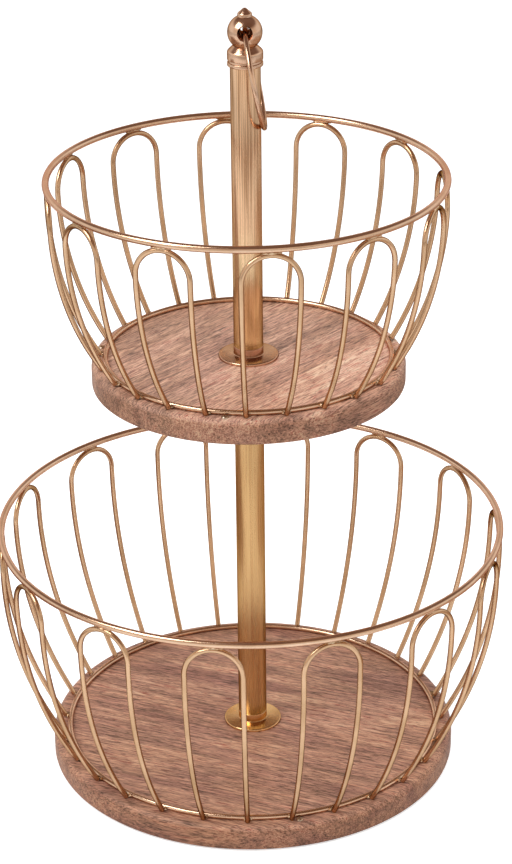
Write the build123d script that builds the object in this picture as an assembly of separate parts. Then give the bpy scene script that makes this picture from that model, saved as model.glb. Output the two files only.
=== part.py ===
from build123d import *
from math import asin, cos, degrees, pi, radians, sin, sqrt
import os

# Tiered wire basket: two round wooden trays on a metal post, each fenced by a basket of bent wire.
# Lengths are in millimetres, Z is up, and the origin is the middle of the base, on the table.

# Post: two tubes, one above the other
post_diameter = 19.0
post_wall = 1.2
lower_post_reach = 254.3  # from the lower tray's top to the upper tray's underside
collar_height = 192.5  # from the upper tray's top to the collar's lower edge

# Wooden trays
tray_thickness = 16.0
lower_tray_radius = 135.6
upper_tray_radius = 100.7
tray_top_rounding = 4.5
rounding_steps = 2  # facets of that rounding

# Wire, by the piece that is bent from it
rim_wire = 4.5
loop_wire = 3.5
ring_wire = 3.5
wire_sides = 6  # flats of the basket's wires, which stand for round ones and keep the model light
rim_runs_per_loop = 3  # straight runs of a rim for each loop that it carries
ring_runs_per_loop = 2  # of a base ring, with a corner at each foot
leg_runs = 3
crown_runs = 6
weld_gap = 0.1
foot_drop = 0.4  # how far the legs' ends lie below the middle of the base ring's wire

# Lower basket
lower_rim_radius = 164.0
lower_rim_height = 151.1  # above its tray
lower_ring_radius = 124.5
lower_loop_count = 14
lower_loop_width = 36.5
lower_loop_turn = -8.3  # degrees from the front, towards +X

# Upper basket
upper_rim_radius = 124.7
upper_rim_height = 120.4
upper_ring_radius = 91.6
upper_loop_count = 12
upper_loop_width = 35.5
upper_loop_turn = 6.3

# Screws beside the base rings
screw_count = 4
screw_head_diameter = 4.6
screw_head_height = 1.5
screw_head_taper = 30  # degrees
screw_sides = 8
screw_shank = 1.8
screw_depth = 7.0  # of the shank in the tray
pilot_spare = 0.6  # of the hole below the shank
lower_screw_turn = 13.2
upper_screw_turn = -8.9

# Flanges that seat the tubes on the trays
flange_diameter = 38.6
flange_thickness = 2.0
ferrule_height = 5.5
spigot_height = 12.0
seat_clearance = 0.05  # between a spigot, socket or thread and what it fits

# Rod from the finial down to the nut that draws the stand together
rod_diameter = 6.0
rod_hole_clearance = 0.3
nut_across_flats = 10.0
nut_height = 5.0
nut_flange_diameter = 18.0
nut_flange_thickness = 1.6
nut_round_sides = 24  # flats of its flange and bore
rod_overrun = 0.6  # thread that stands past the nut
counterbore_margin = 1.0  # around the nut's flange, and under the rod's end

# Pads under the base
pad_count = 4
pad_diameter = 16.0
pad_thickness = 1.0
pad_sides = 12
pad_circle_radius = 112.0

# Collar of the finial, over the post's head
collar_diameter = 22.2
collar_lip = 2.4
collar_groove = 1.4
collar_groove_depth = 0.7
collar_drum = 5.4
collar_shoulder = 3.5
collar_top_diameter = 14.8
collar_socket_depth = 6.2

# Ball finial
ball_diameter = 21.6
ball_centre_height = 8.1  # above the collar
button_diameter = 9.0
button_shoulder_height = 11.6  # above the ball's centre
button_tip_height = 14.9
button_tip_diameter = 1.6
eye_diameter = 8.6
eye_rise = 1.8  # how far the eye lies above the ball's centre

# Ring handle
handle_diameter = 62.0  # of the wire's centre line
handle_wire = 3.2
handle_runs = 24
handle_sides = 8
handle_clearance = 0.4

# A length that is more than any piece it cuts through
overrun = 2.0 * tray_thickness

# Heights that follow
lower_tray_bottom = pad_thickness
lower_tray_top = lower_tray_bottom + tray_thickness
upper_tray_bottom = lower_tray_top + lower_post_reach
upper_tray_top = upper_tray_bottom + tray_thickness
collar_bottom = upper_tray_top + collar_height
collar_total = collar_lip + collar_groove + collar_drum + collar_shoulder
collar_top = collar_bottom + collar_total
ball_centre = collar_top + ball_centre_height
eye_centre = ball_centre + eye_rise
counterbore_depth = nut_flange_thickness + nut_height + rod_overrun + counterbore_margin
nut_seat = lower_tray_bottom + counterbore_depth
nut_bottom = nut_seat - nut_flange_thickness - nut_height

# Radii that follow
post_radius = post_diameter / 2
rod_radius = rod_diameter / 2
thread_radius = rod_radius + seat_clearance
rod_hole_radius = rod_radius + rod_hole_clearance
spigot_radius = post_radius - post_wall - seat_clearance
screw_offset = (ring_wire + screw_head_diameter) / 2


def turned(outline):
    """A solid of revolution about Z from (radius, height) points."""
    return revolve(Plane.XZ * make_face(Polyline(outline, close=True)), Axis.Z)


def rod(radius, bottom, top):
    return Pos(Z=bottom) * Cylinder(radius, top - bottom, align=(Align.CENTER, Align.CENTER, Align.MIN))


def around(count, turn):
    """Azimuths of a pattern in degrees, from the front towards +X."""
    return [turn + 360 * index / count for index in range(count)]


def outward(azimuth):
    """The horizontal direction away from the post at an azimuth from the front."""
    return Vector(sin(radians(azimuth)), -cos(radians(azimuth)), 0)


def along(azimuth):
    """The horizontal direction round the post at an azimuth from the front."""
    return Vector(cos(radians(azimuth)), sin(radians(azimuth)), 0)


def wire_section(centre, tangent, flat_normal, diameter, sides):
    """The wire's outline square to its path, with one flat square to flat_normal."""
    plane = Plane(origin=centre, x_dir=flat_normal, z_dir=tangent)
    return plane * RegularPolygon(diameter / 2, sides, major_radius=False, rotation=180 / sides)


def wire_hoop(radius, height, wire, runs, turn):
    """A closed hoop of wire about the post, with a corner at azimuth turn."""
    corners = [outward(azimuth) * radius + Vector(0, 0, height) for azimuth in around(runs, turn)]
    middle = (corners[0] + corners[-1]) / 2
    section = wire_section(middle, corners[0] - corners[-1], Vector(0, 0, 1), wire, wire_sides)
    return sweep(section, Polyline(middle, *corners, close=True), transition=Transition.RIGHT)


def foot_spread(count):
    """How far in degrees a loop's feet stand to either side of it, so that all feet are evenly spaced."""
    return 360 / count / 4


def leg_line(azimuth, side, crown_radius, rim_radius, crown_foot, foot_radius, foot_height, spread):
    """Points of one leg from the crown down: upright at the rim, then curving in to the base ring."""
    rim_point = outward(azimuth) * rim_radius + along(azimuth) * (side * crown_radius)
    foot_azimuth = azimuth + side * spread
    foot_point = outward(foot_azimuth) * foot_radius
    inward = foot_point - rim_point
    drop = crown_foot - foot_height
    bend_radius = (inward.length**2 + drop**2) / (2 * inward.length)
    bend = asin(drop / bend_radius)
    points = []
    for run in range(leg_runs + 1):
        angle = bend * run / leg_runs
        shift = inward.normalized() * (bend_radius * (1 - cos(angle)))
        points.append(rim_point + shift + Vector(0, 0, crown_foot - bend_radius * sin(angle)))
    return points


def wire_loop(azimuth, count, width, rim_radius, rim_height, ring_radius, tray_top):
    """One hairpin of the fence: a round crown under the rim and two legs down to the base ring."""
    crown_radius = width / 2
    crown_foot = rim_height - (rim_wire + loop_wire) / 2 - weld_gap - crown_radius
    foot_radius = ring_radius + (ring_wire + loop_wire) / 2 + weld_gap
    foot_height = tray_top + ring_wire / 2 - foot_drop
    spread = foot_spread(count)
    legs = [
        leg_line(azimuth, side, crown_radius, rim_radius, crown_foot, foot_radius, foot_height, spread)
        for side in (1, -1)
    ]
    crown = []
    for run in range(1, crown_runs):
        angle = pi * run / crown_runs
        sideways = along(azimuth) * (crown_radius * cos(angle))
        rise = Vector(0, 0, crown_foot + crown_radius * sin(angle))
        crown.append(outward(azimuth) * rim_radius + sideways + rise)
    line = legs[0][::-1] + crown + legs[1]
    climb = line[1] - line[0]
    lean = Vector(climb.X, climb.Y, 0).normalized()
    square = lean.cross(Vector(0, 0, 1))
    face_out = outward(azimuth)
    front = climb.cross(square).normalized() * face_out.dot(lean) + square * face_out.dot(square)
    section = wire_section(line[0], climb, climb.cross(front), loop_wire, wire_sides)
    return sweep(section, Polyline(*line), transition=Transition.RIGHT)


def tray(radius, bottom, screws, foot_bore):
    """A turned wooden disc, rounded along its top edge and bored for the rod and the screws."""
    top = bottom + tray_thickness
    outline = [
        (rod_hole_radius, bottom),
        (radius, bottom),
    ]
    for step in range(rounding_steps + 1):
        angle = pi / 2 * step / rounding_steps
        across = radius - tray_top_rounding * (1 - cos(angle))
        outline.append((across, top - tray_top_rounding * (1 - sin(angle))))
    outline.append((rod_hole_radius, top))
    disc = turned(outline)
    hole = RegularPolygon(screw_shank / 2 + seat_clearance, screw_sides)
    pilot = Pos(Z=top) * extrude(hole, -(screw_depth + pilot_spare))
    for centre in screws:
        disc -= Pos(centre.X, centre.Y) * pilot
    if foot_bore:
        disc -= rod(
            nut_flange_diameter / 2 + counterbore_margin, bottom - overrun, bottom + counterbore_depth
        )
    return disc


def screw_centres(ring_radius, turn):
    return [outward(azimuth) * (ring_radius + screw_offset) for azimuth in around(screw_count, turn)]


def screws(centres, top):
    """Round-headed screws driven into a tray against the outside of its base ring."""
    head = extrude(
        RegularPolygon(screw_head_diameter / 2, screw_sides), screw_head_height, taper=screw_head_taper
    )
    shank = extrude(RegularPolygon(screw_shank / 2, screw_sides), -screw_depth)
    one = Pos(Z=top) * (head + shank)
    return Compound([Pos(centre.X, centre.Y) * one for centre in centres])


def flange(top):
    """A disc with a ferrule as wide as the tube, and a spigot that goes up inside the tube."""
    ferrule_top = top + flange_thickness + ferrule_height
    spigot_top = ferrule_top + spigot_height
    return turned(
        [
            (rod_hole_radius, top),
            (flange_diameter / 2, top),
            (flange_diameter / 2, top + flange_thickness),
            (post_radius, top + flange_thickness),
            (post_radius, ferrule_top),
            (spigot_radius, ferrule_top),
            (spigot_radius, spigot_top),
            (rod_hole_radius, spigot_top),
        ]
    )


def tube(bottom, top):
    return rod(post_radius, bottom, top) - rod(post_radius - post_wall, bottom - overrun, top + overrun)


def collar():
    """The finial's foot: a cap over the tube's head, with a lip, a groove, a drum and a shoulder."""
    outer = collar_diameter / 2
    groove_bottom = collar_bottom + collar_lip
    drum_bottom = groove_bottom + collar_groove
    drum_top = drum_bottom + collar_drum
    ceiling = collar_bottom + collar_socket_depth
    socket = post_radius + seat_clearance
    return turned(
        [
            (socket, collar_bottom),
            (outer, collar_bottom),
            (outer, groove_bottom),
            (outer - collar_groove_depth, groove_bottom),
            (outer - collar_groove_depth, drum_bottom),
            (outer, drum_bottom),
            (outer, drum_top),
            (collar_top_diameter / 2, collar_top),
            (0, collar_top),
            (0, ceiling),
            (socket, ceiling),
        ]
    )


def finial():
    """The collar, a ball with a pointed button and an eye bored through it, and the long rod below."""
    ball = Pos(Z=ball_centre) * Sphere(ball_diameter / 2)
    ball -= rod(ball_diameter, ball_centre - overrun, collar_top)
    button = turned(
        [
            (0, ball_centre),
            (button_diameter / 2, ball_centre),
            (button_diameter / 2, ball_centre + button_shoulder_height),
            (button_tip_diameter / 2, ball_centre + button_tip_height),
            (0, ball_centre + button_tip_height),
        ]
    )
    eye = Pos(Z=eye_centre) * Rot(X=90) * Cylinder(eye_diameter / 2, ball_diameter + overrun)
    stem = rod(rod_radius, nut_bottom - rod_overrun, collar_top)
    return collar() + (ball + button - eye) + stem


def base_nut():
    """A flanged hexagon nut, flange up against the counterbore's ceiling."""
    hexagon = extrude(RegularPolygon(nut_across_flats / 2, 6, major_radius=False), nut_height)
    flange_outline = RegularPolygon(nut_flange_diameter / 2, nut_round_sides)
    bearing_flange = Pos(Z=nut_seat) * extrude(flange_outline, -nut_flange_thickness)
    bore = extrude(RegularPolygon(thread_radius, nut_round_sides, major_radius=False), overrun)
    return Pos(Z=nut_bottom) * hexagon + bearing_flange - bore


def ring_handle():
    """The ring threaded through the eye, hanging against the post's right side."""
    radius = handle_diameter / 2
    corner = handle_wire / 2 / cos(pi / handle_sides)
    mouth = sqrt((ball_diameter / 2) ** 2 - (eye_diameter / 2 - eye_rise) ** 2)
    sag = radius - sqrt(radius**2 - mouth**2)
    drop = eye_diameter / 2 - corner - handle_clearance - sag
    lean = asin((post_radius + corner + handle_clearance) / (handle_diameter + drop))
    print("ring handle leans", degrees(lean), "degrees, so it swings", 360 - 2 * degrees(lean))
    hang = Vector(sin(lean), 0, -cos(lean))
    centre = Vector(0, 0, eye_centre) + hang * (drop + radius)
    corners = []
    for run in range(handle_runs):
        angle = 2 * pi * (run + 0.5) / handle_runs
        corners.append(centre + Vector(0, radius * sin(angle), 0) - hang * (radius * cos(angle)))
    middle = (corners[0] + corners[-1]) / 2
    face = Vector(0, 1, 0).cross(hang)
    section = wire_section(middle, corners[0] - corners[-1], face, handle_wire, handle_sides)
    return sweep(section, Polyline(middle, *corners, close=True), transition=Transition.RIGHT)


def basket(tier, rim_radius, rim_height, ring_radius, tray_top, count, width, turn):
    """The rim, base ring and wire loops of one tier, by name."""
    pieces = {
        f"{tier}_rim": wire_hoop(rim_radius, rim_height, rim_wire, rim_runs_per_loop * count, turn),
        f"{tier}_base_ring": wire_hoop(
            ring_radius,
            tray_top + ring_wire / 2,
            ring_wire,
            ring_runs_per_loop * count,
            turn + foot_spread(count),
        ),
    }
    for index, azimuth in enumerate(around(count, turn)):
        pieces[f"{tier}_loop_{index + 1:02d}"] = wire_loop(
            azimuth, count, width, rim_radius, rim_height, ring_radius, tray_top
        )
    return pieces


def pads():
    """Thin round pads under the base, set in from its edge."""
    one = extrude(RegularPolygon(pad_diameter / 2, pad_sides), pad_thickness)
    centres = [outward(azimuth) * pad_circle_radius for azimuth in around(pad_count, 180 / pad_count)]
    return Compound([Pos(centre.X, centre.Y) * one for centre in centres])


lower_screws = screw_centres(lower_ring_radius, lower_screw_turn)
upper_screws = screw_centres(upper_ring_radius, upper_screw_turn)
lower_ferrule_top = lower_tray_top + flange_thickness + ferrule_height
upper_ferrule_top = upper_tray_top + flange_thickness + ferrule_height

pieces = {
    "base_pads": pads(),
    "lower_tray": tray(lower_tray_radius, lower_tray_bottom, lower_screws, True),
    "upper_tray": tray(upper_tray_radius, upper_tray_bottom, upper_screws, False),
    "lower_ring_screws": screws(lower_screws, lower_tray_top),
    "upper_ring_screws": screws(upper_screws, upper_tray_top),
    "base_nut": base_nut(),
    "lower_flange": flange(lower_tray_top),
    "upper_flange": flange(upper_tray_top),
    "lower_post": tube(lower_ferrule_top, upper_tray_bottom),
    "upper_post": tube(upper_ferrule_top, collar_bottom + collar_socket_depth),
    "ball_finial": finial(),
    "ring_handle": ring_handle(),
}
pieces |= basket(
    "lower",
    lower_rim_radius,
    lower_tray_top + lower_rim_height,
    lower_ring_radius,
    lower_tray_top,
    lower_loop_count,
    lower_loop_width,
    lower_loop_turn,
)
pieces |= basket(
    "upper",
    upper_rim_radius,
    upper_tray_top + upper_rim_height,
    upper_ring_radius,
    upper_tray_top,
    upper_loop_count,
    upper_loop_width,
    upper_loop_turn,
)

os.makedirs("parts", exist_ok=True)
for name, piece in pieces.items():
    export_step(piece, f"parts/{name}.step")
print(len(pieces), "pieces written")
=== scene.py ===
# %% [markdown]
# # A tiered basket stand of bent wire and turned wood
# The measured model of the stand is already packed as a fixed frame: where each piece is, how large
# it is, and which pieces move. This lesson dresses that frame. Each wire, tray and fitting is
# modelled again, finely, in the same place, and then given its finish.

# %% Load the frame
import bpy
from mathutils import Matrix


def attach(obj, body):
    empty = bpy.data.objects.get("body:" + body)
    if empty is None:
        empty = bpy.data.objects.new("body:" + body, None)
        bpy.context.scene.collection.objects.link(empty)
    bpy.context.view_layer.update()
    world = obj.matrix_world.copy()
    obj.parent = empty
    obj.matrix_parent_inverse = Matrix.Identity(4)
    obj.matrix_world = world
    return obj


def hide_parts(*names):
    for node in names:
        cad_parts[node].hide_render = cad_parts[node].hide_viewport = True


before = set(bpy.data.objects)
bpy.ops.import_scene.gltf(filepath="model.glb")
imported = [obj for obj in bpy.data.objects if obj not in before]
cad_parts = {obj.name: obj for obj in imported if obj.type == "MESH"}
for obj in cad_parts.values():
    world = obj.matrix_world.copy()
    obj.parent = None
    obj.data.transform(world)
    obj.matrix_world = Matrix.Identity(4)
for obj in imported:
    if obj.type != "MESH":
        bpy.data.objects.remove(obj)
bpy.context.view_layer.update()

# %% Tools for this lesson
from math import asin, cos, pi, radians, sin

import bmesh
import bpy
from mathutils import Matrix, Vector, noise

scene = bpy.context.scene
mm = 0.001
print("one millimetre is", mm, "of the scene's units")

# %% [markdown]
# ## Camera
# The photograph was taken from in front and a little above, from about a metre and a half away with
# a long lens, so the rims are flat ovals and the post hardly tapers. The lens and the height were
# found by laying the rims and trays over the picture until they met.

# %% Set the camera
camera_distance = 1.513
camera_height = 0.944
camera_tilt = radians(25.17)
camera_turn = radians(0.16)
camera_roll = radians(-0.60)
lens_length = 107.3

camera_data = bpy.data.cameras.new("camera")
camera_data.sensor_fit = "VERTICAL"
camera_data.sensor_height = 36
camera_data.lens = lens_length
camera = bpy.data.objects.new("camera", camera_data)
scene.collection.objects.link(camera)
camera.matrix_world = (
    Matrix.Translation((0, -camera_distance, camera_height))
    @ Matrix.Rotation(-camera_turn, 4, "Z")
    @ Matrix.Rotation(pi / 2 - camera_tilt, 4, "X")
    @ Matrix.Rotation(camera_roll, 4, "Z")
)
scene.camera = camera
print("camera at", tuple(round(value, 3) for value in camera.location))

# %% [markdown]
# ## Node helpers
# A finish is a small network of nodes. Building it in code takes the same steps again and again:
# add a node with its settings, join an output to an input, run a value through a ramp of colours,
# mix two colours. A few short helpers keep the finishes readable.

# %% Helpers for finishes
def new_finish(name):
    """A material with one Principled shader, ready for its settings."""
    material = bpy.data.materials.new(name)
    material.use_nodes = True
    return material, material.node_tree, material.node_tree.nodes["Principled BSDF"]


def add(tree, kind, **settings):
    """Add a node, and set its properties and its unlinked inputs by name."""
    node = tree.nodes.new("ShaderNode" + kind)
    for key, value in settings.items():
        if hasattr(node, key):
            setattr(node, key, value)
        else:
            node.inputs[key.replace("_", " ")].default_value = value
    return node


def colour_ramp(tree, stops):
    """A ramp through (position, colour) stops."""
    ramp = tree.nodes.new("ShaderNodeValToRGB")
    elements = ramp.color_ramp.elements
    while len(elements) < len(stops):
        elements.new(0.5)
    for element, (position, colour) in zip(elements, stops):
        element.position = position
        element.color = (*colour, 1)
    return ramp


def mix_colours(tree, amount, first, second, kind="MIX"):
    """Mix two colours by an amount; each may be an output or a plain value."""
    node = tree.nodes.new("ShaderNodeMix")
    node.data_type = "RGBA"
    node.blend_type = kind
    factor, colour_a, colour_b = node.inputs[0], node.inputs[6], node.inputs[7]
    for socket, value in ((factor, amount), (colour_a, first), (colour_b, second)):
        if hasattr(value, "links"):
            tree.links.new(value, socket)
        else:
            socket.default_value = value
    return node.outputs[2]


print("helpers:", [helper.__name__ for helper in (new_finish, add, colour_ramp, mix_colours)])

# %% [markdown]
# ## Room
# The stand is shown on plain white. The floor is a wide pale sheet that still takes the object's
# shadow. The camera sees the floor and the backdrop as white, and so, a little less brightly, does
# the metal. The light that they give off stays moderate, so that colours come out as written. Metal
# also needs something darker to reflect, or it looks like plastic. So the backdrop fades to a dim
# ceiling, the wall on the viewer's side is a shade darker, and three dark cloths lie on the floor,
# left, right and in front, as photographers lay them to draw an edge on shiny ware. Only
# reflections see the ceiling, that wall and the cloths.

# %% Rays that see the white backdrop
def seen_rays(tree):
    """The ray's kind, and a value of one for camera, glossy and transmission rays."""
    ray = add(tree, "LightPath")
    some = add(tree, "Math", operation="MAXIMUM")
    every = add(tree, "Math", operation="MAXIMUM")
    tree.links.new(ray.outputs["Is Camera Ray"], some.inputs[0])
    tree.links.new(ray.outputs["Is Glossy Ray"], some.inputs[1])
    tree.links.new(some.outputs["Value"], every.inputs[0])
    tree.links.new(ray.outputs["Is Transmission Ray"], every.inputs[1])
    return ray, every.outputs["Value"]


print("helper:", seen_rays.__name__)

# %% Floor
floor_half_width = 6
floor_shade = 0.86
glow_for_metal = 0.14
glow_for_camera = 0.62

floor_mesh = bpy.data.meshes.new("floor")
sheet = bmesh.new()
bmesh.ops.create_grid(sheet, x_segments=1, y_segments=1, size=floor_half_width)
sheet.to_mesh(floor_mesh)
sheet.free()
floor = bpy.data.objects.new("floor", floor_mesh)
scene.collection.objects.link(floor)

floor_finish, tree, shader = new_finish("pale_floor")
shader.inputs["Base Color"].default_value = (floor_shade, floor_shade, floor_shade, 1)
shader.inputs["Roughness"].default_value = 0.9
shader.inputs["Specular IOR Level"].default_value = 0.1
ray, seen = seen_rays(tree)
reflected = add(tree, "Math", operation="MULTIPLY")
reflected.inputs[1].default_value = glow_for_metal
level = add(tree, "Math", operation="MULTIPLY_ADD")
level.inputs[1].default_value = glow_for_camera - glow_for_metal
tree.links.new(seen, reflected.inputs[0])
tree.links.new(ray.outputs["Is Camera Ray"], level.inputs[0])
tree.links.new(reflected.outputs["Value"], level.inputs[2])
glow = add(tree, "Emission", Color=(1, 1, 1, 1))
tree.links.new(level.outputs["Value"], glow.inputs["Strength"])
both = add(tree, "AddShader")
tree.links.new(shader.outputs["BSDF"], both.inputs[0])
tree.links.new(glow.outputs["Emission"], both.inputs[1])
tree.links.new(both.outputs["Shader"], tree.nodes["Material Output"].inputs["Surface"])
floor_mesh.materials.append(floor_finish)
print("floor glow: camera", glow_for_camera, "and metal", glow_for_metal)

# %% Walls and ceiling that the metal reflects
# Stops from 0, straight down, over 0.5, the horizon, to 1, straight up.
backdrop_fade = [(0.66, (1, 1, 1)), (0.72, (0.86, 0.80, 0.76)), (0.80, (0.22, 0.14, 0.11))]
front_wall_shade = (0.86, 0.77, 0.68, 1)

world = bpy.data.worlds.new("room")
world.use_nodes = True
scene.world = world
room = world.node_tree
direction = add(room, "TexCoord")
split = add(room, "SeparateXYZ")
room.links.new(direction.outputs["Generated"], split.inputs["Vector"])
up = add(room, "MapRange", From_Min=-1, From_Max=1)
room.links.new(split.outputs["Z"], up.inputs["Value"])
fade = colour_ramp(room, backdrop_fade)
room.links.new(up.outputs["Result"], fade.inputs["Fac"])

front_side = add(room, "MapRange", From_Min=0.05, From_Max=-0.35)
room.links.new(split.outputs["Y"], front_side.inputs["Value"])
above_floor = add(room, "MapRange", From_Min=-0.03, From_Max=0.06)
room.links.new(split.outputs["Z"], above_floor.inputs["Value"])
front_wall = add(room, "Math", operation="MULTIPLY")
room.links.new(front_side.outputs["Result"], front_wall.inputs[0])
room.links.new(above_floor.outputs["Result"], front_wall.inputs[1])
wall_colour = mix_colours(
    room, front_wall.outputs["Value"], fade.outputs["Color"], front_wall_shade, "MULTIPLY"
)
print("the backdrop is white up to", backdrop_fade[0][0], "and dim from", backdrop_fade[-1][0])

# %% Room light
light_level = 0.45

room_light = room.nodes["Background"]
room_light.inputs["Color"].default_value = (1, 1, 1, 1)
room_light.inputs["Strength"].default_value = light_level
backdrop = add(room, "Background", Color=(1, 1, 1, 1), Strength=1.0)
ceiling = add(room, "Background", Strength=1.0)
room.links.new(wall_colour, ceiling.inputs["Color"])
ray, seen = seen_rays(room)
lit_or_seen = add(room, "MixShader")
metal_or_eye = add(room, "MixShader")
room.links.new(ray.outputs["Is Camera Ray"], metal_or_eye.inputs["Fac"])
room.links.new(ceiling.outputs["Background"], metal_or_eye.inputs[1])
room.links.new(backdrop.outputs["Background"], metal_or_eye.inputs[2])
room.links.new(seen, lit_or_seen.inputs["Fac"])
room.links.new(room_light.outputs["Background"], lit_or_seen.inputs[1])
room.links.new(metal_or_eye.outputs["Shader"], lit_or_seen.inputs[2])
room.links.new(lit_or_seen.outputs["Shader"], room.nodes["World Output"].inputs["Surface"])
print("room light at", light_level)

# %% Dark cloths around the stand
cloth_lift = 0.5 * mm


def dark_cloth(name, centre, half_size, shade):
    """A cloth laid on the floor some way off the stand, which only reflections see."""
    cloth_mesh = bpy.data.meshes.new(name)
    cloth = bmesh.new()
    place = Matrix.Translation((*centre, cloth_lift)) @ Matrix.Diagonal((*half_size, 1, 1))
    bmesh.ops.create_grid(cloth, x_segments=1, y_segments=1, size=1, matrix=place)
    cloth.to_mesh(cloth_mesh)
    cloth.free()
    item = bpy.data.objects.new(name, cloth_mesh)
    scene.collection.objects.link(item)
    item.visible_camera = False
    item.visible_diffuse = False
    item.visible_shadow = False
    item.visible_transmission = False
    finish, tree, shader = new_finish(name + "_weave")
    shader.inputs["Base Color"].default_value = (*shade, 1)
    shader.inputs["Roughness"].default_value = 1.0
    shader.inputs["Specular IOR Level"].default_value = 0.0
    cloth_mesh.materials.append(finish)


dark_cloth("left_cloth", (-0.76, 0.10), (0.52, 0.32), (0.32, 0.21, 0.16))
dark_cloth("right_cloth", (0.78, 0.20), (0.52, 0.55), (0.58, 0.44, 0.35))
dark_cloth("front_cloth", (0.0, -2.25), (2.0, 0.95), (0.62, 0.53, 0.46))
print("three dark cloths")

# %% Lamps
def soft_lamp(name, place, target, width, power, shines=False):
    """A square soft light at place, facing target; metal mirrors it only if it shines."""
    data = bpy.data.lights.new(name, "AREA")
    data.size = width
    data.energy = power
    lamp = bpy.data.objects.new(name, data)
    lamp.location = place
    towards = Vector(target) - Vector(place)
    lamp.rotation_euler = towards.to_track_quat("-Z", "Y").to_euler()
    lamp.visible_glossy = shines
    scene.collection.objects.link(lamp)


middle = (0, 0, 0.25)
soft_lamp("key", (-1.3, -0.75, 2.0), middle, 1.2, 29, shines=True)
soft_lamp("fill", (0.8, -0.9, 1.9), middle, 0.9, 10)
soft_lamp("top", (0.1, 0.3, 1.7), middle, 1.0, 8)
scene.view_settings.view_transform = "Standard"

# %% [markdown]
# ## Metal finishes
# The wire is plated in a warm brass tone and then lacquered satin. Metal has no colour of its own
# beyond the tint of what it reflects, so the finish is a metallic shader whose tint drifts slightly
# between two tones, with a fine unevenness in its gloss. The lacquer darkens the outline of each
# wire, where the eye meets it at a grazing angle. The tubes are brushed along their length instead,
# so their noise is drawn out into streaks, and the foot of each is painted lighter: a painted light
# over the dark reflection of the tray around it.

# %% Brass finish
satin_outline = (0.35, 0.22, 0.16)
# The colour painted over the foot of a tube: a painted light.
painted_foot_light = (0.95, 0.84, 0.48, 1)


def brass_finish(
    name, tones, gloss, streaks=None, bump=0.02, grain=700, outline=satin_outline, foot=None
):
    """Plated brass in a darker and a lighter tone.

    gloss is the range of roughness, grain the fineness of the texture and streaks its stretch.
    outline is the tint at a grazing angle, and foot a span painted lighter, a painted light
    over the tray's dark reflection: (low, high, amount).
    """
    material, tree, shader = new_finish(name)
    shader.inputs["Metallic"].default_value = 1
    shader.inputs["Specular Tint"].default_value = (*outline, 1)
    place = add(tree, "TexCoord")
    fine = add(tree, "TexNoise", Scale=grain, Detail=2, Roughness=0.6)
    if streaks:
        stretch = add(tree, "Mapping", Scale=streaks)
        tree.links.new(place.outputs["Object"], stretch.inputs["Vector"])
        tree.links.new(stretch.outputs["Vector"], fine.inputs["Vector"])
        drift = fine
    else:
        tree.links.new(place.outputs["Object"], fine.inputs["Vector"])
        drift = add(tree, "TexNoise", Scale=38, Detail=3, Roughness=0.55)
        tree.links.new(place.outputs["Object"], drift.inputs["Vector"])
    tint = colour_ramp(tree, [(0.32, tones[0]), (0.68, tones[1])])
    tree.links.new(drift.outputs["Fac"], tint.inputs["Fac"])
    colour = tint.outputs["Color"]
    # Painted light: the foot of a tube is painted lighter towards its low end, over the tray's dark
    # reflection.
    if foot:
        low, high, amount = foot
        split = add(tree, "SeparateXYZ")
        painted_lift = add(tree, "MapRange", From_Min=high, From_Max=low, To_Max=amount)
        tree.links.new(place.outputs["Object"], split.inputs["Vector"])
        tree.links.new(split.outputs["Z"], painted_lift.inputs["Value"])
        colour = mix_colours(tree, painted_lift.outputs["Result"], colour, painted_foot_light)
    tree.links.new(colour, shader.inputs["Base Color"])
    sheen = add(tree, "MapRange", To_Min=gloss[0], To_Max=gloss[1])
    tree.links.new(fine.outputs["Fac"], sheen.inputs["Value"])
    tree.links.new(sheen.outputs["Result"], shader.inputs["Roughness"])
    relief = add(tree, "Bump", Strength=bump, Distance=0.2 * mm)
    tree.links.new(fine.outputs["Fac"], relief.inputs["Height"])
    tree.links.new(relief.outputs["Normal"], shader.inputs["Normal"])
    return material


print("helper:", brass_finish.__name__)

# %% Brass of the wires
satin_gloss = (0.16, 0.26)
wire_finish = brass_finish(
    "satin_wire",
    [(0.56, 0.355, 0.205), (0.72, 0.478, 0.300)],
    satin_gloss,
    bump=0.012,
    outline=(0.08, 0.035, 0.01),
)
hoop_finish = brass_finish(
    "satin_hoop",
    [(0.64, 0.42, 0.275), (0.80, 0.56, 0.395)],
    satin_gloss,
    bump=0.012,
    outline=(0.72, 0.46, 0.40),
)
weld_finish = brass_finish(
    "plated_weld", [(0.50, 0.34, 0.20), (0.80, 0.60, 0.42)], (0.18, 0.36), bump=0.3, grain=1400
)
print("wire finishes:", wire_finish.name, hoop_finish.name, weld_finish.name)

# %% Brass of the tubes and fittings
bright_gloss = (0.15, 0.26)
brushed_along = (1, 1, 0.012)
lower_tube_finish = brass_finish(
    "lower_brushed_tube",
    [(0.60, 0.358, 0.160), (0.73, 0.462, 0.213)],
    (0.20, 0.36),
    streaks=brushed_along,
    bump=0.15,
    grain=900,
    foot=(0.03, 0.11, 0.45),
)
upper_tube_finish = brass_finish(
    "upper_brushed_tube",
    [(0.47, 0.26, 0.13), (1.0, 0.67, 0.43)],
    (0.14, 0.32),
    streaks=brushed_along,
    bump=0.30,
    grain=1100,
    foot=(0.30, 0.38, 0.70),
)
bright_finish = brass_finish(
    "bright_fitting", [(0.58, 0.35, 0.235), (0.76, 0.51, 0.35)], bright_gloss
)
# The lower flange takes a warmer, brighter copy of the fitting brass: a painted warm light, as the
# light falls warmer low in the middle of the stand.
warm_lit_fitting_finish = brass_finish("warm_lit_fitting", [(0.76, 0.46, 0.21), (0.92, 0.62, 0.33)], bright_gloss)
print("tube finishes:", lower_tube_finish.name, upper_tube_finish.name)
print("fitting finishes:", bright_finish.name, warm_lit_fitting_finish.name)

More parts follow.
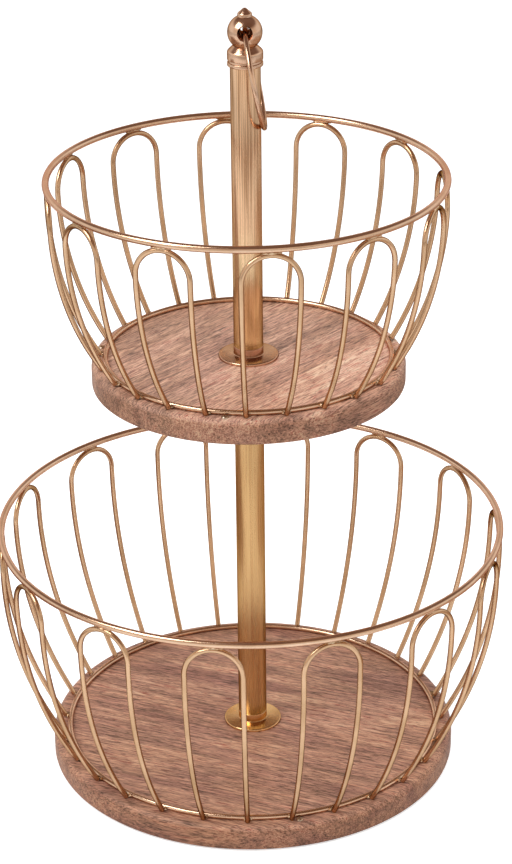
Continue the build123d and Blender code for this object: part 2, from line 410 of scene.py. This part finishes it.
# %% [markdown]
# ## Wood finish
# Each tray is a board glued up from staves of a pinkish brown hardwood, sanded and thinly
# lacquered. A solid pattern runs through the whole board, so the grain on the face carries on down
# the edge. The board is first turned so that the staves run along one axis. A ramp with hard steps
# across the staves then gives each its own tone and its own stretch of the pattern. Broad bands,
# growth lines, fibres, short dark pores and a pinker blush are five noises, each drawn out along
# the grain.

# %% Helpers for wood
def drawn_noise(tree, place, scale, seed, detail=4, distortion=0.0):
    """Noise drawn out along the grain: scale is (along, across, through) per metre."""
    stretch = add(tree, "Mapping", Scale=scale, Location=(seed, seed * 0.7, seed * 0.3))
    cloud = add(tree, "TexNoise", Scale=1.0, Detail=detail, Roughness=0.6, Distortion=distortion)
    tree.links.new(place, stretch.inputs["Vector"])
    tree.links.new(stretch.outputs["Vector"], cloud.inputs["Vector"])
    return cloud.outputs["Fac"]


def ramped(tree, value, stops):
    """The colour that a ramp through stops gives for a value."""
    ramp = colour_ramp(tree, stops)
    tree.links.new(value, ramp.inputs["Fac"])
    return ramp.outputs["Color"]


def grey(value):
    """A grey as a colour of three equal parts."""
    return (value, value, value)


print("a mid grey is", grey(0.5))

# %% Staves of a board
def glued_staves(tree, grain_angle, half_width, joints):
    """Each stave's tone, and a place for the grain that jumps from stave to stave."""
    place = add(tree, "TexCoord")
    turn = add(tree, "Mapping", Rotation=(0, 0, -grain_angle))
    tree.links.new(place.outputs["Object"], turn.inputs["Vector"])
    split = add(tree, "SeparateXYZ")
    tree.links.new(turn.outputs["Vector"], split.inputs["Vector"])
    across = add(tree, "MapRange", From_Min=-half_width, From_Max=half_width)
    tree.links.new(split.outputs["Y"], across.inputs["Value"])
    stave = colour_ramp(tree, [(start, grey(tone)) for start, tone in joints])
    stave.color_ramp.interpolation = "CONSTANT"
    tree.links.new(across.outputs["Result"], stave.inputs["Fac"])
    shift = add(tree, "VectorMath", operation="MULTIPLY_ADD")
    shift.inputs[1].default_value = (0.9, 1.7, 1.3)
    tree.links.new(stave.outputs["Color"], shift.inputs[0])
    tree.links.new(turn.outputs["Vector"], shift.inputs[2])
    return stave.outputs["Color"], shift.outputs["Vector"]


print("helper:", glued_staves.__name__)

# %% Wood finish
stave_contrast = 0.7
blush_share = 0.30
line_contrast = 0.42
fibre_contrast = 0.78
# The sides of a board are painted darker than its top: a painted shade, as light falls from above.
painted_side_shade = (0.80, 0.72, 0.64, 1)


def wood_finish(name, grain_angle, half_width, joints, tones, seed):
    """Lacquered hardwood.

    joints are (place across the board from 0 to 1, stave tone from 0 to 1). tones are the dark,
    middle and light wood, the blush and the pores.
    """
    material, tree, shader = new_finish(name)
    stave, grain = glued_staves(tree, grain_angle, half_width, joints)
    bands = drawn_noise(tree, grain, (6, 34, 30), seed, detail=4, distortion=1.1)
    lines = drawn_noise(tree, grain, (14, 420, 300), seed + 3, detail=4, distortion=0.5)
    streaks = drawn_noise(tree, grain, (110, 1250, 1150), seed + 5, detail=3, distortion=0.6)
    pores = drawn_noise(tree, grain, (150, 1500, 1500), seed + 9, detail=2, distortion=0.5)
    blush = drawn_noise(tree, grain, (16, 28, 28), seed + 13, detail=2)

    colour = ramped(tree, bands, [(0.33, tones[0]), (0.50, tones[1]), (0.66, tones[2])])
    lift = ramped(tree, stave, [(0.0, grey(0.36)), (1.0, grey(0.66))])
    colour = mix_colours(tree, stave_contrast, colour, lift, "OVERLAY")
    tinted = mix_colours(tree, blush_share, colour, (*tones[3], 1))
    pink = ramped(tree, blush, [(0.42, grey(0.0)), (0.66, grey(1.0))])
    colour = mix_colours(tree, pink, colour, tinted)
    soft = ramped(tree, lines, [(0.34, grey(0.10)), (0.50, grey(0.50)), (0.66, grey(0.82))])
    colour = mix_colours(tree, line_contrast, colour, soft, "OVERLAY")
    sharp = ramped(tree, streaks, [(0.34, grey(0.02)), (0.50, grey(0.47)), (0.70, grey(0.72))])
    colour = mix_colours(tree, fibre_contrast, colour, sharp, "OVERLAY")
    dark = ramped(tree, pores, [(0.57, grey(0.0)), (0.64, grey(0.80))])
    colour = mix_colours(tree, dark, colour, (*tones[4], 1))
    # Painted shade: the sides of the board, turned away from the light above, are darkened.
    surface = add(tree, "NewGeometry")
    facing = add(tree, "SeparateXYZ")
    tree.links.new(surface.outputs["Normal"], facing.inputs["Vector"])
    painted_shade_share = ramped(tree, facing.outputs["Z"], [(0.25, grey(1.0)), (0.90, grey(0.0))])
    colour = mix_colours(tree, painted_shade_share, colour, painted_side_shade, "MULTIPLY")
    tree.links.new(colour, shader.inputs["Base Color"])

    gloss = add(tree, "MapRange", To_Min=0.58, To_Max=0.42)
    tree.links.new(streaks, gloss.inputs["Value"])
    tree.links.new(gloss.outputs["Result"], shader.inputs["Roughness"])
    shader.inputs["Specular IOR Level"].default_value = 0.35
    raised = ramped(tree, streaks, [(0.2, grey(0.0)), (0.8, grey(1.0))])
    sunk = ramped(tree, pores, [(0.56, grey(1.0)), (0.66, grey(0.0))])
    height = mix_colours(tree, 0.5, raised, sunk)
    relief = add(tree, "Bump", Strength=0.5, Distance=0.3 * mm)
    tree.links.new(height, relief.inputs["Height"])
    tree.links.new(relief.outputs["Normal"], shader.inputs["Normal"])
    return material


print("helper:", wood_finish.__name__)

# %% Wood of the two trays
upper_wood = wood_finish(
    "upper_tray_wood",
    grain_angle=radians(49),
    half_width=0.101,
    joints=[(0.0, 0.95), (0.372, 0.38), (0.80, 0.50)],
    tones=[
        (0.34, 0.17, 0.11),
        (0.50, 0.285, 0.19),
        (0.66, 0.40, 0.28),
        (0.56, 0.31, 0.25),
        (0.13, 0.05, 0.03),
    ],
    seed=2.0,
)
lower_wood = wood_finish(
    "lower_tray_wood",
    grain_angle=radians(-21),
    half_width=0.136,
    joints=[(0.0, 0.35), (0.34, 0.55), (0.70, 0.30)],
    tones=[
        (0.36, 0.165, 0.11),
        (0.53, 0.28, 0.175),
        (0.66, 0.375, 0.235),
        (0.47, 0.225, 0.18),
        (0.15, 0.055, 0.038),
    ],
    seed=11.0,
)
print("wood finishes:", upper_wood.name, lower_wood.name)

# %% [markdown]
# ## From a mesh to a piece
# Every finished piece goes through one last step: its faces are turned outwards, its round faces
# are shaded smooth with the real edges kept sharp, it is told which part of the stand it moves
# with, and the measured piece that it stands for is hidden.

# %% Finish a piece
merge_distance = 0.002 * mm
sharp_angle = radians(32)


def make_piece(name, shape, finishes, nodes, body="stand"):
    """Turn a finished bmesh into a scene piece that stands for the named nodes."""
    bmesh.ops.remove_doubles(shape, verts=shape.verts, dist=merge_distance)
    bmesh.ops.recalc_face_normals(shape, faces=shape.faces)
    mesh = bpy.data.meshes.new(name)
    shape.to_mesh(mesh)
    shape.free()
    for finish in finishes:
        mesh.materials.append(finish)
    mesh.shade_smooth()
    mesh.set_sharp_from_angle(angle=sharp_angle)
    piece = bpy.data.objects.new(name, mesh)
    scene.collection.objects.link(piece)
    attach(piece, body)
    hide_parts(*nodes)
    return piece


print("faces within", round(sharp_angle * 180 / pi), "degrees of each other are shaded as one")

# %% Turn and join shapes
def turned(outline, rounds, steps):
    """Turn a closed outline of (radius, height) points about the post.

    rounds says which corners are rounded: {number of the point: (radius, segments)}.
    """
    shape = bmesh.new()
    points = [shape.verts.new((radius, 0, height)) for radius, height in outline]
    for first, second in zip(points, points[1:] + points[:1]):
        shape.edges.new((first, second))
    for index, (radius, segments) in rounds.items():
        bmesh.ops.bevel(
            shape,
            geom=[points[index]],
            offset=radius,
            offset_type="OFFSET",
            segments=segments,
            profile=0.5,
            affect="VERTICES",
            material=-1,
        )
    bmesh.ops.spin(
        shape,
        geom=shape.verts[:] + shape.edges[:],
        cent=(0, 0, 0),
        axis=(0, 0, 1),
        angle=2 * pi,
        steps=steps,
        use_merge=True,
    )
    return shape


def take_in(whole, part):
    """Add the faces of one bmesh to another, and free it."""
    mesh = bpy.data.meshes.new("part")
    part.to_mesh(mesh)
    part.free()
    whole.from_mesh(mesh)
    bpy.data.meshes.remove(mesh)


test = turned([(0.01, 0), (0.02, 0), (0.02, 0.01), (0.01, 0.01)], {2: (0.003, 4)}, 32)
print("a turned test ring has", len(test.verts), "points and", len(test.faces), "faces")
test.free()

# %% Sizes that the pieces share
tray_thickness = 16 * mm
rim_wire = 4.5 * mm
fence_wire = 3.5 * mm
handle_wire = 3.2 * mm
tube_radius = 9.5 * mm


class Tier:
    """The heights and radii of one storey, as the measured model has them."""

    def __init__(
        self,
        name,
        tray_bottom,
        tray_radius,
        ring_radius,
        rim_radius,
        rim_height,
        loops,
        width,
        turn,
        flatness,
    ):
        self.name = name
        self.tray_bottom = tray_bottom * mm
        self.tray_top = self.tray_bottom + tray_thickness
        self.tray_radius = tray_radius * mm
        self.ring_radius = ring_radius * mm
        self.rim_radius = rim_radius * mm
        self.rim_height = self.tray_top + rim_height * mm
        self.loops = loops
        self.width = width * mm
        self.turn = radians(turn)
        self.flatness = flatness * mm


lower = Tier(
    "lower",
    tray_bottom=1.0,
    tray_radius=135.6,
    ring_radius=124.5,
    rim_radius=164.0,
    rim_height=151.1,
    loops=14,
    width=36.5,
    turn=-8.3,
    flatness=0.6,
)
upper = Tier(
    "upper",
    tray_bottom=271.3,
    tray_radius=100.7,
    ring_radius=91.6,
    rim_radius=124.7,
    rim_height=120.4,
    loops=12,
    width=35.5,
    turn=6.3,
    flatness=1.7,
)
print("rims at", [round(tier.rim_height / mm, 1) for tier in (lower, upper)], "mm")

# %% [markdown]
# ## Trays
# A tray is faced and edged on a lathe: flat underneath, a small round below, and a fuller one along
# the top edge. The same is done here: half of its outline is drawn as a loop of points, its corners
# are rounded with a bevel, and the loop is spun once about the post. The lower tray also has a wide
# blind bore underneath for the nut.

# %% Trays
rod_hole = 3.3 * mm
counterbore_radius = 10 * mm
counterbore_depth = 8.2 * mm
top_round = (4.5 * mm, 8)
bottom_round = (1.5 * mm, 3)
board_steps = 160
for tier, finish in ((lower, lower_wood), (upper, upper_wood)):
    low, top, edge = tier.tray_bottom, tier.tray_top, tier.tray_radius
    outline = [(rod_hole, top), (edge, top), (edge, low)]
    if tier is lower:
        seat = low + counterbore_depth
        outline += [(counterbore_radius, low), (counterbore_radius, seat), (rod_hole, seat)]
    else:
        outline += [(rod_hole, low)]
    board = turned(outline, {1: top_round, 2: bottom_round}, board_steps)
    piece = make_piece(tier.name + "_board", board, [finish], [tier.name + "_tray"])
    print(piece.name, len(piece.data.polygons), "faces")

# %% [markdown]
# ## Hoops of wire
# The two rims and the two base rings are straight wire bent round and butt welded, then ground
# flush and plated. A round section is drawn once and spun through a full turn, merged where it
# meets itself.

# %% Rims and base rings
hoop_steps = 168
rim_sides = 16
fence_sides = 12


def wire_section(shape, place, tangent, wire, sides):
    """A circle of wire section at place, square to tangent: its points and edges."""
    turn = Vector(tangent).to_track_quat("Z", "Y").to_matrix().to_4x4()
    made = bmesh.ops.create_circle(
        shape, segments=sides, radius=wire / 2, matrix=Matrix.Translation(place) @ turn
    )
    points = made["verts"]
    return points + list({edge for point in points for edge in point.link_edges})


def hoop(radius, height, wire, sides):
    """Wire bent to a full circle about the post."""
    shape = bmesh.new()
    section = wire_section(shape, (0, radius, height), (1, 0, 0), wire, sides)
    bmesh.ops.spin(
        shape,
        geom=section,
        cent=(0, 0, 0),
        axis=(0, 0, 1),
        angle=2 * pi,
        steps=hoop_steps,
        use_merge=True,
    )
    return shape


for tier in (lower, upper):
    rim = hoop(tier.rim_radius, tier.rim_height, rim_wire, rim_sides)
    make_piece(tier.name + "_rim_wire", rim, [hoop_finish], [tier.name + "_rim"])
    ring = hoop(tier.ring_radius, tier.tray_top + fence_wire / 2, fence_wire, fence_sides)
    make_piece(
        tier.name + "_ring_wire", ring, [hoop_finish], [tier.name + "_base_ring"]
    )
print("four hoops of wire")

# %% [markdown]
# ## The wire fence
# Each loop is one length of wire bent into a hairpin. Its round crown is brazed under the rim, and
# its two legs stand upright there, then lean in on one easy curve to the base ring. The first leg
# is a section spun up from its foot, the crown is the same section spun on through half a turn, and
# the second leg is spun on from there, so the wire runs without a joint, and its ends are closed.
# The braze is modelled too: a thin web between crown and rim, and a small bead where each foot
# meets the base ring. Wire bent by hand is never quite even, so the legs come out a little flatter
# than a true arc, and width and place vary by half a millimetre or so.

# %% Braze
lump_fineness = 2.4
lump_height = 0.40
web_half_size = (6.0 * mm, 1.35 * mm, 1.25 * mm)
bead_half_size = (2.7 * mm, 1.5 * mm, 1.5 * mm)


def braze(shape, place, half_size, turn, seed):
    """An uneven bead of filler metal: half_size is (along the hoop, across it, up)."""
    bead = bmesh.ops.create_icosphere(shape, subdivisions=3, radius=1)["verts"]
    for point in bead:
        lump = noise.noise(point.co * lump_fineness + Vector((seed, 0, 0)))
        point.co *= 1 + lump_height * lump
    stand_there = Matrix.Translation(place) @ Matrix.Rotation(turn, 4, "Z")
    bmesh.ops.transform(shape, matrix=stand_there @ Matrix.Diagonal((*half_size, 1)), verts=bead)
    for face in {face for point in bead for face in point.link_faces}:
        face.material_index = 1


test = bmesh.new()
braze(test, (0, 0, 0), web_half_size, 0, 1)
print("a bead has", len(test.faces), "faces")
test.free()

# %% Curve of a leg
weld_gap = 0.1 * mm
foot_drop = 0.4 * mm


def ring_place(tier, side, radius):
    """Where a foot stands on a circle about the post, and at what angle; side is 1 or -1."""
    spread = side * pi / 2 / tier.loops
    return Vector((sin(spread), -cos(spread), 0)) * radius, spread


def leg_sweep(tier, side, bend, crown_foot):
    """Where a leg turns in: the centre, axis and angle of its curve."""
    top = Vector((side * bend, -tier.rim_radius, crown_foot))
    foot, spread = ring_place(tier, side, tier.ring_radius + fence_wire + weld_gap)
    inward = Vector((foot.x - top.x, foot.y - top.y, 0))
    drop = crown_foot - (tier.tray_top + fence_wire / 2 - foot_drop)
    sweep = (inward.length_squared + drop**2) / (2 * inward.length)
    inward.normalize()
    return top + inward * sweep, inward.cross(Vector((0, 0, 1))), asin(drop / sweep)


def spin_on(shape, geom, cent, axis, angle, steps):
    """Spin a section on from where it is, and return the section at the far end."""
    made = bmesh.ops.spin(
        shape, geom=geom, cent=cent, axis=axis, angle=angle, steps=steps, use_merge=False
    )
    return made["geom_last"]


foot, spread = ring_place(lower, 1, lower.ring_radius)
print("a lower foot stands", round(foot.x / mm, 1), "mm beside the middle of its loop")

# %% One loop of the fence
leg_steps = 24
crown_steps = 28
width_play = 0.6 * mm
belly_share = 0.75
lean_share = 0.35


def bend_by_hand(tier, shape):
    """Move a loop's points slightly inwards, most of all halfway up."""
    for point in shape.verts:
        up = (point.co.z - tier.tray_top) / (tier.rim_height - tier.tray_top)
        belly = sin(pi * min(max(up, 0), 1))
        inward = -Vector((point.co.x, point.co.y, 0)).normalized()
        point.co += inward * tier.flatness * (belly_share * belly + lean_share * up)


def fence_loop(tier, seed):
    """One hairpin at the front of a tier, from the base ring up under the rim and back."""
    shape = bmesh.new()
    bend = tier.width / 2 + width_play * noise.noise(Vector((seed, 2.5, 0)))
    crown_foot = tier.rim_height - (rim_wire + fence_wire) / 2 - weld_gap - bend
    crown_centre = (0, -tier.rim_radius, crown_foot)
    start = (bend, -tier.rim_radius, crown_foot)
    section = wire_section(shape, start, (0, 0, 1), fence_wire, fence_sides)
    points = [item for item in section if isinstance(item, bmesh.types.BMVert)]
    centre, axis, angle = leg_sweep(tier, 1, bend, crown_foot)
    bmesh.ops.rotate(shape, verts=points, cent=centre, matrix=Matrix.Rotation(angle, 3, axis))
    section = spin_on(shape, section, centre, axis, -angle, leg_steps)
    section = spin_on(shape, section, crown_centre, (0, -1, 0), pi, crown_steps)
    centre, axis, angle = leg_sweep(tier, -1, bend, crown_foot)
    spin_on(shape, section, centre, axis, angle, leg_steps)
    ends = [edge for edge in shape.edges if edge.is_boundary]
    bmesh.ops.holes_fill(shape, edges=ends, sides=0)
    bend_by_hand(tier, shape)
    return shape


test = fence_loop(lower, 0)
print("a loop has", len(test.faces), "faces")
test.free()

# %% The whole fence
web_sink = 0.15 * mm
bead_out = 1.7 * mm
bead_up = 1.5 * mm
place_play = radians(0.45)
next_seed = 3.7


def braze_loop(tier, shape, seed):
    """The web under the rim and the beads at the two feet."""
    web_height = tier.rim_height - rim_wire / 2 - web_sink
    braze(shape, (0, -tier.rim_radius, web_height), web_half_size, 0, seed)
    for side in (1, -1):
        joint, spread = ring_place(tier, side, tier.ring_radius + bead_out)
        joint.z = tier.tray_top + bead_up
        braze(shape, joint, bead_half_size, spread, seed + side * 7)


for tier in (lower, upper):
    for index in range(tier.loops):
        seed = index * next_seed
        wire = fence_loop(tier, seed)
        braze_loop(tier, wire, seed)
        by_hand = place_play * noise.noise(Vector((index * 1.9, 7.5, tier.loops)))
        place = Matrix.Rotation(tier.turn + 2 * pi * index / tier.loops + by_hand, 3, "Z")
        bmesh.ops.rotate(wire, verts=wire.verts, cent=(0, 0, 0), matrix=place)
        number = f"{index + 1:02d}"
        make_piece(
            f"{tier.name}_fence_wire_{number}",
            wire,
            [wire_finish, weld_finish],
            [f"{tier.name}_loop_{number}"],
        )
    print(tier.name, "fence:", tier.loops, "loops")

# %% [markdown]
# ## Post and flanges
# The post is two lengths of drawn tube. A thin disc with a polished ferrule seats each length on
# its tray. All are turned shapes, so all are spun from an outline. Small rounds at the ends leave
# the fine dark lines that show where one part stops and the next begins.

# %% Tubes, discs and ferrules
flange_radius = 19.3 * mm
flange_thickness = 2 * mm
ferrule_height = 5.5 * mm
spigot_radius = 8.25 * mm
spigot_height = 12 * mm
tube_bore = 8.3 * mm
collar_bottom = 0.4798
socket_top = collar_bottom + 6.2 * mm
turning_steps = 96
for tier, tube_top, tube_finish, flange_finish in (
    (lower, upper.tray_bottom, lower_tube_finish, warm_lit_fitting_finish),
    (upper, socket_top, upper_tube_finish, bright_finish),
):
    disc_top = tier.tray_top + flange_thickness
    tube_bottom = disc_top + ferrule_height
    flange = turned(
        [
            (rod_hole, tier.tray_top),
            (flange_radius, tier.tray_top),
            (flange_radius, disc_top),
            (tube_radius, disc_top),
            (tube_radius, tube_bottom),
            (spigot_radius, tube_bottom),
            (spigot_radius, tube_bottom + spigot_height),
            (rod_hole, tube_bottom + spigot_height),
        ],
        {
            1: (0.4 * mm, 2),
            2: (1.0 * mm, 4),
            3: (0.5 * mm, 3),
            4: (0.45 * mm, 3),
            6: (0.8 * mm, 2),
        },
        turning_steps,
    )
    make_piece(
        tier.name + "_flange_disc", flange, [flange_finish], [tier.name + "_flange"]
    )
    tube = turned(
        [
            (tube_bore, tube_bottom),
            (tube_radius, tube_bottom),
            (tube_radius, tube_top),
            (tube_bore, tube_top),
        ],
        {1: (0.3 * mm, 2), 2: (0.3 * mm, 2)},
        turning_steps,
    )
    make_piece(tier.name + "_post_tube", tube, [tube_finish], [tier.name + "_post"])
    print(tier.name, "tube from", round(tube_bottom / mm, 1), "to", round(tube_top / mm, 1), "mm")

# %% [markdown]
# ## Finial
# Over the tube's head sits a turned collar: a lip, a dark groove, a drum and a shoulder. It carries
# the ball, which has a cross hole with rounded mouths for the ring, and a pointed button on top.
# Under the collar a long rod runs down through both tubes to the nut. The whole is one outline
# spun about the post. The cross hole is cut by a spool shape with a Boolean modifier, because no
# spin can make a hole across its own axis.

# %% Cut one shape from another
def cut(shape, cutter):
    """Take cutter away from shape with a Boolean modifier, and return the new shape."""
    pair = []
    for solid in (shape, cutter):
        bmesh.ops.remove_doubles(solid, verts=solid.verts, dist=merge_distance)
        bmesh.ops.recalc_face_normals(solid, faces=solid.faces)
        mesh = bpy.data.meshes.new("cutting")
        solid.to_mesh(mesh)
        solid.free()
        pair.append(bpy.data.objects.new("cutting", mesh))
        scene.collection.objects.link(pair[-1])
    body, tool = pair
    step = body.modifiers.new("cut", "BOOLEAN")
    step.operation = "DIFFERENCE"
    step.solver = "EXACT"
    step.object = tool
    result = bmesh.new()
    result.from_object(body, bpy.context.evaluated_depsgraph_get())
    for item in pair:
        mesh = item.data
        bpy.data.objects.remove(item)
        bpy.data.meshes.remove(mesh)
    return result


print("helper:", cut.__name__)

# %% Outline of the collar and ball
socket_radius = 9.55 * mm
collar_radius = 11.1 * mm
groove_radius = 10.4 * mm
groove_bottom = collar_bottom + 2.4 * mm
groove_top = collar_bottom + 3.8 * mm
drum_top = collar_bottom + 9.2 * mm
collar_top = 0.4925
shoulder_radius = 7.4 * mm
neck_radius = 7.0 * mm
ball_centre = 0.5006
ball_radius = 10.8 * mm
cap_radius = 4.5 * mm
arc_steps = 28

profile = [
    (socket_radius, socket_top),
    (socket_radius, collar_bottom),
    (collar_radius, collar_bottom),
    (collar_radius, groove_bottom),
    (groove_radius, groove_bottom),
    (groove_radius, groove_top),
    (collar_radius, groove_top),
    (collar_radius, drum_top),
    (shoulder_radius, collar_top),
]
rounds = {
    2: (0.5 * mm, 3),
    3: (0.5 * mm, 3),
    6: (0.5 * mm, 3),
    7: (0.9 * mm, 4),
}
neck_angle = asin(neck_radius / ball_radius)
cap_angle = asin(cap_radius / ball_radius)
for step in range(arc_steps + 1):
    angle = neck_angle + (pi - cap_angle - neck_angle) * step / arc_steps
    profile.append((ball_radius * sin(angle), ball_centre - ball_radius * cos(angle)))
print("collar and ball:", len(profile), "points")

# %% Button, rod and eye
button_shoulder = ball_centre + 11.6 * mm
button_tip = ball_centre + 14.9 * mm
tip_radius = 0.8 * mm
rod_radius = 3.0 * mm
rod_end = 2.0 * mm
rod_chamfer = 0.5 * mm
eye_centre = 0.5024
eye_waist = 3.2 * mm
waist_half = 6.5 * mm
mouth_radius = 5.1 * mm
mouth_half = 10.2 * mm
spool_radius = 9.0 * mm
spool_half = 14 * mm
spool_steps = 64

rounds[len(profile)] = (0.5 * mm, 3)
rounds[len(profile) + 1] = (0.4 * mm, 3)
profile += [
    (cap_radius, button_shoulder),
    (tip_radius, button_tip),
    (0.0, button_tip),
    (0.0, rod_end),
    (rod_radius - rod_chamfer, rod_end),
    (rod_radius, rod_end + rod_chamfer),
    (rod_radius, socket_top),
]
body = turned(profile, rounds, turning_steps)

spool = turned(
    [
        (0.0, -spool_half),
        (spool_radius, -spool_half),
        (mouth_radius, -mouth_half),
        (eye_waist, -waist_half),
        (eye_waist, waist_half),
        (mouth_radius, mouth_half),
        (spool_radius, spool_half),
        (0.0, spool_half),
    ],
    {2: (0.8 * mm, 4), 3: (1.2 * mm, 4), 4: (1.2 * mm, 4), 5: (0.8 * mm, 4)},
    spool_steps,
)
across = Matrix.Translation((0, 0, eye_centre)) @ Matrix.Rotation(pi / 2, 4, "X")
bmesh.ops.transform(spool, matrix=across, verts=spool.verts)
finial = make_piece(
    "finial_and_rod", cut(body, spool), [bright_finish], ["ball_finial"]
)
print("finial:", len(finial.data.polygons), "faces")

# %% [markdown]
# ## Ring handle
# The ring is wire closed through the ball's eye. It hangs against the post, so it leans a little.
# Its section is spun about the ring's centre, which lies below the eye, in the direction in which
# the ring hangs.

# %% Ring handle
handle_radius = 31 * mm
handle_drop = 31.33 * mm
handle_sides = 16
lean = radians(10.755)
hang = Vector((sin(lean), 0, -cos(lean)))
handle_centre = Vector((0, 0, eye_centre)) + hang * handle_drop
top = handle_centre - hang * handle_radius
ring = bmesh.new()
section = wire_section(ring, top, (0, 1, 0), handle_wire, handle_sides)
bmesh.ops.spin(
    ring,
    geom=section,
    cent=handle_centre,
    axis=Vector((0, 1, 0)).cross(hang),
    angle=2 * pi,
    steps=turning_steps,
    use_merge=True,
)
make_piece(
    "ring_handle_wire", ring, [bright_finish], ["ring_handle"], body="ring_handle"
)
print("ring handle hangs", round(handle_radius * 2 / mm), "mm across")

# %% [markdown]
# ## Screws, nut and pads
# Small round-headed screws hold the base rings down. Under the lower tray a flanged nut closes the
# long rod in its bore, and four felt pads keep the base off the table. Screws, pads and the nut's
# flange are turned shapes. The slot is cut into each head, and the nut's hexagon is extruded.

# %% Metal of the small parts
screw_finish = brass_finish(
    "plated_screw", [(0.62, 0.50, 0.38), (0.72, 0.60, 0.46)], satin_gloss, bump=0.05
)
nut_finish = brass_finish(
    "zinc_nut", [(0.56, 0.57, 0.58), (0.66, 0.66, 0.66)], (0.25, 0.42), bump=0.08
)
print("small metal finishes:", screw_finish.name, nut_finish.name)

# %% Felt
felt_finish, tree, shader = new_finish("pad_felt")
place = add(tree, "TexCoord")
fuzz = add(tree, "TexNoise", Scale=900, Detail=5, Roughness=0.7)
tree.links.new(place.outputs["Object"], fuzz.inputs["Vector"])
felt_grey = ramped(tree, fuzz.outputs["Fac"], [(0.3, grey(0.035)), (0.7, grey(0.11))])
tree.links.new(felt_grey, shader.inputs["Base Color"])
nap = add(tree, "Bump", Strength=0.6, Distance=0.3 * mm)
tree.links.new(fuzz.outputs["Fac"], nap.inputs["Height"])
tree.links.new(nap.outputs["Normal"], shader.inputs["Normal"])
shader.inputs["Roughness"].default_value = 0.95
shader.inputs["Sheen Weight"].default_value = 0.3
print("felt finish:", felt_finish.name)

# %% Screws
head_radius = 2.3 * mm
head_height = 1.5 * mm
shank_radius = 0.9 * mm
shank_end = -6.4 * mm
screw_tip = -7 * mm
slot_size = (6 * mm, 0.6 * mm, 1.1 * mm)
first_stop = 0.9
next_stop = 0.8
screw_steps = 32
screw_count = 4


def slotted_screw():
    """A round-headed screw standing on its shank, with its slot cut."""
    screw = turned(
        [
            (0.0, head_height),
            (head_radius * 0.55, head_height),
            (head_radius * 0.98, head_height * 0.45),
            (head_radius, 0.0),
            (shank_radius, 0.0),
            (shank_radius, shank_end),
            (0.0, screw_tip),
        ],
        {1: (0.5 * mm, 3), 2: (0.35 * mm, 3)},
        screw_steps,
    )
    slot = bmesh.new()
    place = Matrix.Translation((0, 0, head_height)) @ Matrix.Diagonal((*slot_size, 1))
    bmesh.ops.create_cube(slot, size=1, matrix=place)
    return cut(screw, slot)


for tier, first in ((lower, radians(13.2)), (upper, radians(-8.9))):
    all_screws = bmesh.new()
    radius = tier.ring_radius + fence_wire / 2 + head_radius
    for index in range(screw_count):
        screw = slotted_screw()
        azimuth = first + 2 * pi * index / screw_count
        spot = (radius * sin(azimuth), -radius * cos(azimuth), tier.tray_top)
        last_turn = azimuth + first_stop + index * next_stop
        drive = Matrix.Translation(spot) @ Matrix.Rotation(last_turn, 4, "Z")
        bmesh.ops.transform(screw, matrix=drive, verts=screw.verts)
        take_in(all_screws, screw)
    make_piece(
        tier.name + "_screws",
        all_screws,
        [screw_finish],
        [tier.name + "_ring_screws"],
    )
print(2 * screw_count, "slotted screws")

# %% Nut
nut_bottom = 2.6 * mm
nut_height = 5 * mm
nut_top = nut_bottom + nut_height
nut_seat = 9.2 * mm
nut_corner_radius = 5.77 * mm
nut_flange_radius = 9.0 * mm
bore_height = 20 * mm
low_corner = (0.5 * mm, 3)
small_steps = 48

nut = bmesh.new()
hexagon = bmesh.ops.create_circle(
    nut,
    cap_ends=True,
    segments=6,
    radius=nut_corner_radius,
    matrix=Matrix.Translation((0, 0, nut_bottom)),
)
base = hexagon["verts"][0].link_faces[0]
grown = bmesh.ops.extrude_face_region(nut, geom=[base])["geom"]
raised = [item for item in grown if isinstance(item, bmesh.types.BMVert)]
bmesh.ops.translate(nut, vec=(0, 0, nut_height), verts=raised)
low_edges = [
    edge for edge in nut.edges if all(point.co.z < nut_bottom + 0.1 * mm for point in edge.verts)
]
bmesh.ops.bevel(
    nut,
    geom=low_edges,
    offset=low_corner[0],
    offset_type="OFFSET",
    segments=low_corner[1],
    profile=0.5,
    affect="EDGES",
    material=-1,
)
bore = turned(
    [(0.0, 0.0), (rod_radius, 0.0), (rod_radius, bore_height), (0.0, bore_height)],
    {},
    small_steps,
)
nut = cut(nut, bore)
flange = turned(
    [
        (rod_radius, nut_top),
        (nut_flange_radius, nut_top),
        (nut_flange_radius, nut_seat),
        (rod_radius, nut_seat),
    ],
    {1: (0.6 * mm, 3), 2: (0.2 * mm, 1)},
    small_steps,
)
take_in(nut, flange)
make_piece("flanged_nut", nut, [nut_finish], ["base_nut"])
print("the nut lies between", round(nut_bottom / mm, 1), "and", round(nut_seat / mm, 1), "mm")

# %% Pads
pad_radius = 8 * mm
pad_thickness = 1 * mm
pad_circle = 112 * mm
pad_count = 4

pads = bmesh.new()
for index in range(pad_count):
    azimuth = pi / 4 + 2 * pi * index / pad_count
    pad = turned(
        [(0.0, 0.0), (pad_radius, 0.0), (pad_radius, pad_thickness), (0.0, pad_thickness)],
        {1: (0.35 * mm, 3)},
        small_steps,
    )
    spot = Vector((sin(azimuth), -cos(azimuth), 0)) * pad_circle
    bmesh.ops.translate(pad, vec=spot, verts=pad.verts)
    take_in(pads, pad)
make_piece("felt_pads", pads, [felt_finish], ["base_pads"])
print(pad_count, "felt pads")
